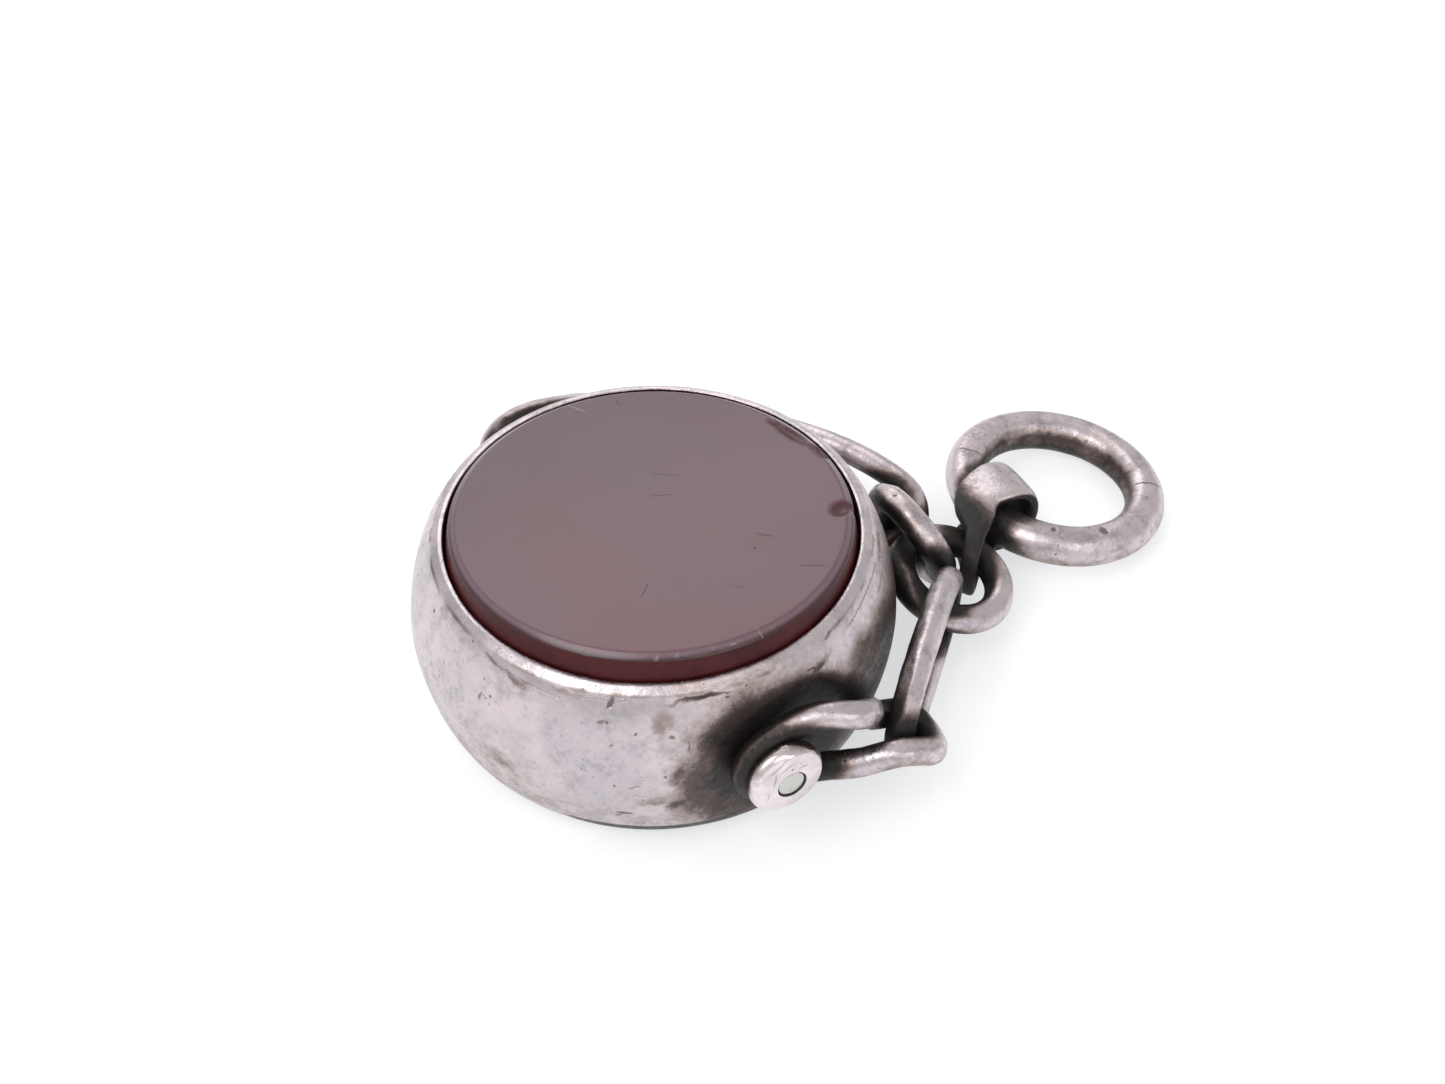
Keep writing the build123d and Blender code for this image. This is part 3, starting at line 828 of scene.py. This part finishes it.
def bailStrap():
    rows = np.array(bail["sections"])
    places = rows[:, :3] * drumRadius + np.array([0, 0, pivotHeight])
    count, sides = bail["steps"], bail["sides"]
    line = smoothLoop(places, count)
    chord = np.linalg.norm(np.roll(places, -1, 0) - places, axis=1)
    marks = np.concatenate([[0], np.cumsum(chord)])
    wanted = np.arange(count) * marks[-1] / count
    turn, width, thickness = (
        np.interp(wanted, marks, np.append(rows[:, axis], rows[0, axis])) for axis in (3, 4, 5))
    points, rings = [], []
    for index in range(count):
        tangent = unit(line[(index + 1) % count] - line[index - 1])
        angle = math.radians(turn[index])
        across = np.array([-math.sin(angle), math.cos(angle), 0])
        across = unit(across - tangent * across.dot(tangent))
        through = np.cross(tangent, across)
        wide = across * width[index] * bail["width"] / 2
        thick = through * thickness[index] * bail["thickness"] / 2 * bail["fill"]
        rings.append(list(range(len(points), len(points) + sides)))
        for side in range(sides):
            reach, lift = squareTurn(2 * math.pi * side / sides, bail["corner"])
            points.append(line[index] + wide * reach + thick * lift)
    finish = linkSilver("bail_silver", shift=5.0, inner=bail["inner"], neck=bail["neck"])
    return shapeOf("bailStrap", points, stackFaces(rings, closed=True), [finish])


pieces["bailStrap"] = bailStrap()
print("bail", len(pieces["bailStrap"].data.polygons))


# The caps and the pin, turned round the pin's axis
cap = dict(
    radius=2.0, hole=0.765, inner=13.13, thickness=0.92, edge=0.36, dome=0.08, shift=-0.12, lift=0.15,
    around=120, cutDepth=0.22,
    # Flats hammered along the rim: the way each faces, how far out it starts and how softly
    nearCuts=[((-0.55, 0, 0.84), 1.55, 0.16), ((0.20, 0, 0.98), 1.90, 0.12), ((-0.97, 0, -0.2), 1.95, 0.06)],
    farCuts=[((0.7, 0, 0.7), 1.70, 0.12), ((-0.6, 0, -0.8), 1.86, 0.08)],
    # Dents in the face: the place, the size and the depth
    nearDents=[((0.55, 0.80), 0.30, 0.10), ((0.82, 0.62), 0.14, 0.08), ((-0.95, -0.1), 0.25, 0.05),
               ((0.3, -1.3), 0.3, 0.04)],
    farDents=[((0.3, 0.9), 0.4, 0.05)],
    # Scratches on the near face: the middle, the way each runs and its size
    scratches=[
        ((-0.95, -14.0, 6.6), (0.2, 0, 1), (0.62, 0.035, 1)),
        ((-0.3, -14.0, 7.15), (1, 0, 0.5), (0.6, 0.04, 1)),
        ((0.62, -14.0, 6.75), (1, 0, 0.2), (0.30, 0.06, 1)),
        ((-1.3, -14, 5.6), (0.3, 0, 1), (0.4, 0.03, 1)),
    ],
)
pin = dict(
    around=96, steps=20,
    # The rounded end: the radius, and how far in from the cap's face
    end=[(0, 0.03), (0.30, 0.035), (0.56, 0.045), (0.68, 0.06), (0.725, 0.10), (0.74, 0.2)],
    tone=(0.58, 0.58, 0.55), coolTone=(0.52, 0.52, 0.49),
)


def onPin(facing):  # puts a turned point round the pin, out towards that side
    return lambda across, up, out: (across, facing * out, pivotHeight + up)


def capShape(name, side, cuts, dents, material):
    hole, inner, outer = cap["hole"], cap["inner"], cap["radius"]
    profile = [(hole, inner), (outer - 0.1, inner), (outer - 0.02, inner + 0.05)]
    straight = inner + cap["thickness"] - cap["edge"] - cap["dome"]
    for step in range(9):
        angle = math.radians(90 * step / 8)
        inset, rise = cap["edge"] * (1 - math.cos(angle)), cap["edge"] * math.sin(angle)
        profile.append((outer - inset, straight + rise))
    flat = outer - cap["edge"]
    for step in range(1, 13):  # the face rises a little to the hole
        radius = flat + (hole + 0.03 - flat) * step / 12
        rise = cap["dome"] * (1 - (radius / flat) ** 2) * 1.3
        profile.append((radius, straight + cap["edge"] + rise))
    profile.append((hole, profile[-1][1] - 0.03))
    piece = turned(name, profile, cap["around"], onPin(side), [material])
    points = corners(piece)
    radius = np.hypot(points[:, 0], points[:, 2] - pivotHeight)
    share = easeBetween(radius, hole, hole + 0.25)
    points[:, 0] += cap["shift"] * share  # the cap sits a little off the pin, and its hole doesn't
    points[:, 2] += cap["lift"] * share
    out = np.abs(points[:, 1])
    for direction, reach, soft in cuts:  # hammered flats along the rim
        beyond = points[:, 0] * direction[0] + (points[:, 2] - pivotHeight) * direction[2] - reach
        depth = cap["cutDepth"] * np.clip(beyond / soft, 0, 1) * np.clip(beyond + 0.25, 0, 1)
        out -= np.where(out > inner + 0.4, depth, 0)
    for centre, size, depth in dents:
        far = np.hypot(points[:, 0] - centre[0], points[:, 2] - pivotHeight - centre[1])
        out -= np.where(out > inner + 0.6, depth * (1 - easeBetween(far, 0, size)), 0)
    points[:, 1] = side * out
    moveCorners(piece, points)
    return piece


def capSilver():
    finish = Finish("cap_silver")
    scratches = finish.marks(finish.ragged(0.05, 0.2), cap["scratches"], (0, -1, 0), 0.4) * 0.8
    seam = finish.ease(fromPin(finish), 0.82, 0.76) * 0.9  # the dark line round the pin's end
    # painted shade where the pivot link comes close, with the dark seam round the pin's end
    tarnishAndShade = (finish.attribute("paintedShade") * 0.5).lowest(0.6).highest(seam)
    return wornSilver(finish, silverTones["bright"], silverTones["pale"], tarnishAndShade, 0.12, 0.20, scratches,
                      greyShare=0.10, depth=0.02)


def pinSilver():
    finish = Finish("pin_silver")
    tarnishAndShade = finish.ease(fromPin(finish), 0.70, 0.75) * 0.5
    return wornSilver(finish, pin["tone"], pin["coolTone"], tarnishAndShade, 0.3, 0.34, greyShare=0.2, depth=0.03)


def pinRows():  # from one rounded end to the other
    end = cap["inner"] + cap["thickness"]
    rows = [(radius, -end + inward) for radius, inward in pin["end"]]
    radius, inward = pin["end"][-1]
    straight = [(radius, -end + inward + 2 * (end - inward) * step / pin["steps"])
                for step in range(1, pin["steps"])]
    return rows + straight + [(radius, -out) for radius, out in reversed(rows)]


capFinish = capSilver()
pieces["nearCap"] = capShape("nearCap", -1, cap["nearCuts"], cap["nearDents"], capFinish)
pieces["farCap"] = capShape("farCap", 1, cap["farCuts"], cap["farDents"], capFinish)
pieces["pivotPin"] = turned("pivotPin", pinRows(), pin["around"], onPin(1), [pinSilver()])
print("caps and pin")


# The stones
redStone = dict(
    radius=10.34, base=7.155, faceHeight=12.0, slope=2.75, slopeTurn=60.7, dome=0.05,
    domeRadius=9.6, sideInset=0.22, sideDrop=1.0, bevelInset=0.41, bevelDrop=0.30, around=420, rings=60,
    # Chips: the place, half length, half width, turn and depth
    chips=[
        (8.45, -4.30, 0.75, 0.50, 20, 0.22), (9.15, -4.45, 0.40, 0.28, 60, 0.25),
        (9.25, 1.9, 1.35, 0.32, 105, 0.16), (9.80, 0.1, 0.75, 0.26, 92, 0.20),
        (8.95, 3.1, 0.6, 0.2, 110, 0.10),
    ],
    # Small bites out of the rim: the place and the size
    nicks=[
        (-4.6, -8.85, 0.18), (-3.7, -9.2, 0.22), (-3.2, -9.45, 0.14), (-1.9, -9.75, 0.16),
        (-7.1, -7.0, 0.13), (1.2, -9.85, 0.12),
    ],
    nickDepth=0.10,
    # Faint wisps all over the face: turn, width, length, share and shift of each set
    wisps=[
        ((0, 0, 0.5), 0.045, 1.3, 0.42), ((0, 0, 1.5), 0.04, 1.1, 0.38, 5),
        ((0, 0, -0.6), 0.035, 1.8, 0.36, 9),
    ],
    # Pale hairs and dark streaks on the face: the middle, the way each runs and its size
    hairs=[
        ((0.45, 9.3, 11.6), (0.6, -1, 0), (0.85, 0.05, 1)),
        ((0.55, -10.0, 12.3), (0.1, -1, 0), (0.6, 0.035, 1.2)),
        ((-0.9, -9.9, 12.4), (1, -0.1, 0), (0.22, 0.05, 1)),
    ],
    streaks=[
        ((5.0, -7.2, 12.3), (1, -0.55, 0), (0.85, 0.05, 1)),
        ((4.1, -4.2, 12.2), (1, -0.9, 0), (0.6, 0.045, 1)),
        ((3.2, -4.8, 12.2), (0.6, -1, 0), (0.12, 0.10, 1)),
        ((2.0, 2.2, 12.0), (1, -0.75, 0), (0.9, 0.04, 1)),
        ((1.1, 0.9, 12.0), (1, -0.4, 0), (0.7, 0.035, 1)), ((2.6, 8.6, 11.7), (0.2, -1, 0), (0.3, 0.07, 1)),
        ((1.2, -6.8, 12.4), (1, -1.3, 0), (0.5, 0.035, 1)),
        ((-2.9, -4.8, 12.3), (1, 0.9, 0), (0.7, 0.03, 1)),
    ],
)


def stoneFace(x, y):  # the height of the leaning face
    turn = math.radians(redStone["slopeTurn"])
    fall = math.tan(math.radians(redStone["slope"]))
    return redStone["faceHeight"] - fall * (x * math.cos(turn) + y * math.sin(turn))


def redStoneRows():  # radius, fixed height or none, drop below the leaning face or none
    row = redStone
    radius, base, inset, drop = row["radius"], row["base"], row["bevelInset"], row["bevelDrop"]
    outer = radius - row["sideInset"]
    face = outer - inset
    low = drop + row["sideDrop"]
    rows = [(radius - 0.05, base, None), (radius, base + 0.06, None), (radius, None, low + 0.02)]
    rows += [(radius - row["sideInset"] * step / 8, None, low - row["sideDrop"] * step / 8)
             for step in range(1, 8)]
    rows += [(outer, None, drop + 0.03), (outer - 0.02, None, drop - 0.01)]
    rows += [(outer - inset * share, None, drop * (1 - share) ** 1.15)
             for share in (0.2, 0.4, 0.6, 0.8, 0.92)]
    rows += [(face, None, 0.006), (face - 0.06, None, 0.0)]
    inner = face - 0.06
    rows += [(inner * (1 - (step / row["rings"])) ** 0.9, None, 0.0) for step in range(1, row["rings"])]
    return rows


def redStoneShape(materials):
    row = redStone
    points, edge, rings = [], [], []
    for radius, height, drop in redStoneRows():
        rings.append(list(range(len(points), len(points) + row["around"])))
        for step in range(row["around"]):
            turn = 2 * math.pi * step / row["around"]
            x, y = radius * math.cos(turn), radius * math.sin(turn)
            points.append((x, y, height if drop is None else stoneFace(x, y) - drop))
            edge.append(1.0 if drop is None else min(drop / row["bevelDrop"], 1.0))
    faces = stackFaces([[len(points)]] + rings + [[len(points) + 1]])
    points += [(0, 0, row["base"]), (0, 0, stoneFace(0, 0))]
    edge += [0.0, 0.0]
    points = np.array(points)
    radius = np.hypot(points[:, 0], points[:, 1])
    top = points[:, 2] > row["base"] + 1
    points[:, 2] += np.where(top, row["dome"] * np.clip(1 - (radius / row["domeRadius"]) ** 2, 0, 1), 0)
    broken = np.zeros(len(points))
    for x, y, length, width, turn, depth in row["chips"]:
        angle = math.radians(turn)
        right, back = points[:, 0] - x, points[:, 1] - y
        along = (right * math.cos(angle) + back * math.sin(angle)) / length
        across = (-right * math.sin(angle) + back * math.cos(angle)) / width
        scoop = np.clip(1 - (along ** 2 + across ** 2), 0, 1) * top
        points[:, 2] -= depth * scoop
        broken = np.maximum(broken, easeBetween(scoop, 0.0, 0.35))
    for x, y, size in row["nicks"]:
        far = np.hypot(points[:, 0] - x, points[:, 1] - y)
        points[:, 2] -= row["nickDepth"] * (1 - easeBetween(far, 0, size)) * top
    piece = shapeOf("redStone", points, faces, materials, merged=False)
    for face in piece.data.polygons:  # the side has its own finish
        if min(edge[corner] for corner in face.vertices) >= 0.999 or face.center.z < (row["base"] + 1) * mm:
            face.material_index = 1
    paint(piece, "edge", edge)
    paint(piece, "chip", broken)
    return piece


# The bevel tone is a painted highlight
stoneTones = dict(
    face=(0.118, 0.064, 0.080), warmFace=(0.135, 0.064, 0.072), side=(0.030, 0.0030, 0.0045),
    bevel=(0.150, 0.100, 0.125), chip=(0.060, 0.010, 0.014), pale=(0.34, 0.27, 0.28),
    streak=(0.05, 0.02, 0.026), ground=(0.044, 0.0058, 0.0075), warmGround=(0.062, 0.0085, 0.0100),
    pit=(0.024, 0.005, 0.006), nick=(0.16, 0.09, 0.09),
)


def carnelian():
    finish = Finish("red_stone")
    tones = stoneTones
    edge = finish.attribute("edge")
    chip = finish.attribute("chip")
    cloud = finish.noise(7.0, 3, 0.5)
    fine = finish.noise(0.35, 4, 0.6, shift=3)
    colour = finish.mix(tones["face"], tones["warmFace"], finish.ease(cloud, 0.35, 0.65))
    colour = finish.mix(colour, darker(tones["face"], 0.72), finish.ease(fine, 0.60, 0.80) * 0.25)
    # painted shade: the face darker towards the far side
    farSideShade = finish.ease(finish.split(finish.place)[1], -3.0, 10.0)
    colour = finish.mix(colour, darker(tones["face"], 0.6), farSideShade * 0.75)
    wisp = strongest([finish.scratches(*row) for row in redStone["wisps"]])
    where = finish.ragged(0.06, 0.5)
    hairs = finish.marks(where, redStone["hairs"], (0, 0, 1), 0.4)
    streaks = finish.marks(where, redStone["streaks"], (0, 0, 1), 0.4)
    colour = finish.mix(colour, tones["streak"], (wisp * 0.12).highest(streaks * 0.7))
    # painted highlight: a lighter lilac-grey on the bevel
    bevel = finish.ease(edge, 0.01, 0.25) * finish.ease(edge, 0.85, 0.45)
    colour = finish.mix(colour, tones["bevel"], bevel * 0.75)
    colour = finish.mix(colour, tones["side"], finish.ease(edge, 0.35, 0.95))
    colour = finish.mix(colour, tones["chip"], finish.ease(chip, 0.1, 0.7) * 0.9)
    colour = finish.mix(colour, tones["pale"], hairs * 0.55)
    height = fine * 0.05 - wisp * 0.10 - streaks * 0.5 + finish.noise(0.5, 4, 0.6, shift=8) * chip * 0.9
    rough = finish.ease(cloud, 0.3, 0.7, 0.24, 0.30) + wisp * 0.12 + chip * 0.1
    return finish.done(Base_Color=colour, Roughness=rough, Normal=finish.bump(height, 0.03), IOR=1.54)


def carnelianSide():  # the ground side of the slab, deeper in colour than its polished face
    finish = Finish("red_stone_side")
    tones = stoneTones
    cloud = finish.noise(2.5, 4, 0.6)
    fine = finish.noise(0.25, 4, 0.65, shift=3)
    colour = finish.mix(tones["ground"], tones["warmGround"], finish.ease(cloud, 0.4, 0.62))
    colour = finish.mix(colour, tones["pit"], finish.ease(fine, 0.55, 0.75) * 0.6)
    nicks = finish.ease(finish.noise(0.16, 3, 0.6, shift=6), 0.66, 0.72)
    nicks = nicks * finish.ease(finish.attribute("edge"), 1.0, 0.8)
    colour = finish.mix(colour, tones["nick"], nicks * 0.6)
    rough = finish.ease(fine, 0.3, 0.7, 0.32, 0.45)
    return finish.done(Base_Color=colour, Roughness=rough, Normal=finish.bump(fine, 0.02), IOR=1.54,
                       Specular_IOR_Level=0.16)


darkStone = dict(
    radius=10.34, height=4.495, bevel=0.35, around=240,
    tone=(0.010, 0.014, 0.014), greenTone=(0.016, 0.026, 0.022), fleck=(0.09, 0.016, 0.013),
    line=(0.05, 0.052, 0.052),
)


def bloodstone():
    finish = Finish("dark_stone")
    cloud = finish.noise(3.0, 4, 0.6)
    fleck = finish.specks(1.6, 0.22, 0.5)
    fine = finish.noise(0.3, 4, 0.6, shift=4)
    colour = finish.mix(darkStone["tone"], darkStone["greenTone"], finish.ease(cloud, 0.4, 0.62))
    colour = finish.mix(colour, darkStone["fleck"], fleck * 0.45)
    lines = finish.scratches((0, 0, 0.4), 0.04, 1.4)
    lines = lines.highest(finish.scratches((0, 0, 1.7), 0.04, 1.4, shift=6))
    colour = finish.mix(colour, darkStone["line"], lines * 0.5)
    rough = finish.ease(fine, 0.35, 0.7, 0.14, 0.24) + lines * 0.15
    bump = finish.bump(fine * 0.05 - lines * 0.4, 0.03)
    return finish.done(Base_Color=colour, Roughness=rough, Normal=bump, IOR=1.54,
                       Coat_Weight=0.2, Coat_Roughness=0.06)


def darkStoneRows():  # from the middle of the lower face, round its bevelled edge, to the hidden face
    radius, height, bevel = darkStone["radius"], darkStone["height"], darkStone["bevel"]
    edge = radius - bevel
    rows = [(0, 0.0)] + [(edge * step / 20, 0.0) for step in range(1, 20)]
    rows += [(edge - 0.05, 0.0), (edge + 0.02, 0.015)]
    rows += [(edge + bevel * step / 4, bevel * step / 4) for step in (1, 2, 3)]
    rows += [(radius - 0.01, bevel - 0.02), (radius, bevel + 0.05), (radius, 2.0), (radius, height - 0.02)]
    return rows + [(radius - 0.04, height), (5.0, height), (0, height)]


def upright(x, y, z):
    return x, y, z


pieces["redStone"] = redStoneShape([carnelian(), carnelianSide()])
pieces["darkStone"] = turned("darkStone", darkStoneRows(), darkStone["around"], upright, [bloodstone()])
pieces["drumBand"] = band
print("stones")


# Painted shade gathers where pieces come close, on the underside of each loop and on its inner side.
# It is looked for at a reach out from the surface, and fades from the near to the far distance.
# The pairs are how squarely a point faces down, or its loop's middle, where that starts to show and is full.
paintedShade = dict(reach=0.7, near=0.35, far=1.9, every=3,
            under=(-0.45, 0.6), inner=(0.35, 0.95), bailInner=(0.2, 0.8))
neighbours = {  # which pieces paint shade on which
    "drumBand": ["nearPivotWire", "nearCap", "nearLongWire", "farLongWire", "farPivotWire", "nearRoundWire",
                 "farRoundWire", "farCap"],
    "nearCap": ["nearPivotWire"], "farCap": ["farPivotWire"],
}
for name in list(loops) + ["bailStrap"]:
    neighbours[name] = [other for other in pieces if other not in (name, "redStone", "darkStone", "pivotPin")]

spots = {name: corners(piece) for name, piece in pieces.items()}
for name, others in neighbours.items():
    cloud = np.concatenate([spots[other][::paintedShade["every"]] for other in others])
    tree = KDTree(len(cloud))
    for index, point in enumerate(cloud):
        tree.insert(point, index)
    tree.balance()
    own = spots[name]
    facing = outwards(pieces[name])
    shade = np.zeros(len(own))
    for index in range(len(own)):
        point, normal = Vector(own[index]), Vector(facing[index])
        found = tree.find(point + normal * paintedShade["reach"])
        shade[index] = found[2]
    paint(pieces[name], "paintedShade", 1 - easeBetween(shade, paintedShade["near"], paintedShade["far"]))
    if name in loops or name == "bailStrap":
        # painted shade on the underside and on the inner side of each loop
        paint(pieces[name], "under", easeBetween(-facing[:, 2], *paintedShade["under"]))
        middle = loops[name]["line"].mean(axis=0) if name in loops else own.mean(axis=0)
        towards = middle - own
        towards /= np.linalg.norm(towards, axis=1)[:, None]
        fade = paintedShade["inner"] if name in loops else paintedShade["bailInner"]
        paint(pieces[name], "inner", easeBetween((towards * facing).sum(axis=1), *fade))
print("paintedShade")

# Which body each piece rides on, the CAD node it stands for and the slot named for its finish
riding = {
    "drumBand": ("drum", "bezel_drum", "drum_silver"), "redStone": ("drum", "top_stone", "red_stone"),
    "darkStone": ("drum", "bottom_stone", "dark_stone"), "pivotPin": ("drum", "pivot_pin", "link_silver"),
    "nearCap": ("drum", "near_cap", "link_silver"), "farCap": ("drum", "far_cap", "link_silver"),
    "bailStrap": ("bow", "bail", "link_silver"),
}
for name, loop in loops.items():
    riding[name] = ("bow", loop["node"], "link_silver")
for name, (body, node, finishSlot) in riding.items():
    piece = pieces[name]
    if piece.data.attributes.get("middle"):
        piece.data.attributes.remove(piece.data.attributes["middle"])
    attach(piece, body)
    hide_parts(node)
print("pieces ride", len(riding))


# The table, the light and the camera
studio = dict(
    tableSize=1.6, tableTone=(0.50, 0.50, 0.503), tableGlow=0.60, glowTone=(0.96, 0.98, 1.0),
    skyTone=(1.0, 0.985, 0.99), skyStrength=0.72, aim=(4, -2, 5),
    lights=[  # name, place, size, power, tone
        ("key", (-0.30, -0.10, 0.42), 0.36, 1.0, (1.0, 0.985, 0.97)),
        ("fill", (0.05, -0.45, 0.30), 0.40, 0.45, (0.97, 0.98, 1.0)),
        ("back", (0.10, 0.45, 0.40), 0.50, 0.8, (1.0, 0.99, 1.0)),
    ],
)
tableMesh = bpy.data.meshes.new("table")
half = studio["tableSize"] / 2
tableCorners = [(-half, -half, 0), (half, -half, 0), (half, half, 0), (-half, half, 0)]
tableMesh.from_pydata(tableCorners, [], [(0, 1, 2, 3)])
table = bpy.data.objects.new("table", tableMesh)
bpy.context.scene.collection.objects.link(table)
paper = Finish("table_paper")
grain = paper.noise(0.8, 3, 0.5)
paperTone = paper.mix(studio["tableTone"], darker(studio["tableTone"], 0.985), grain)
tableMesh.materials.append(paper.done(Base_Color=paperTone, Roughness=0.85, Emission_Color=studio["glowTone"],
                                      Emission_Strength=studio["tableGlow"]))

world = bpy.data.worlds.new("studio")
world.use_nodes = True
sky = world.node_tree.nodes["Background"]
sky.inputs[0].default_value = (*studio["skyTone"], 1)
sky.inputs[1].default_value = studio["skyStrength"]
bpy.context.scene.world = world
aim = Vector(studio["aim"]) * mm
for name, where, size, power, tone in studio["lights"]:
    lamp = bpy.data.lights.new(name, "AREA")
    lamp.shape = "DISK"
    lamp.size = size
    lamp.energy = power
    lamp.color = tone
    light = bpy.data.objects.new(name, lamp)
    light.location = where
    light.rotation_euler = (aim - Vector(where)).to_track_quat("-Z", "Y").to_euler()
    bpy.context.scene.collection.objects.link(light)

camera = dict(place=(-0.03535, -0.07018, 0.08807), look=(0.347, 0.618, -0.705), lens=54.8, sensor=36)
lensData = bpy.data.cameras.new("camera")
lensData.lens = camera["lens"]
lensData.sensor_width = camera["sensor"]
lensData.clip_start, lensData.clip_end = 0.005, 10
eye = bpy.data.objects.new("camera", lensData)
eye.location = camera["place"]
eye.rotation_euler = Vector(camera["look"]).to_track_quat("-Z", "Y").to_euler()
bpy.context.scene.collection.objects.link(eye)
bpy.context.scene.camera = eye
bpy.context.scene.view_settings.view_transform = "Standard"

print("done")
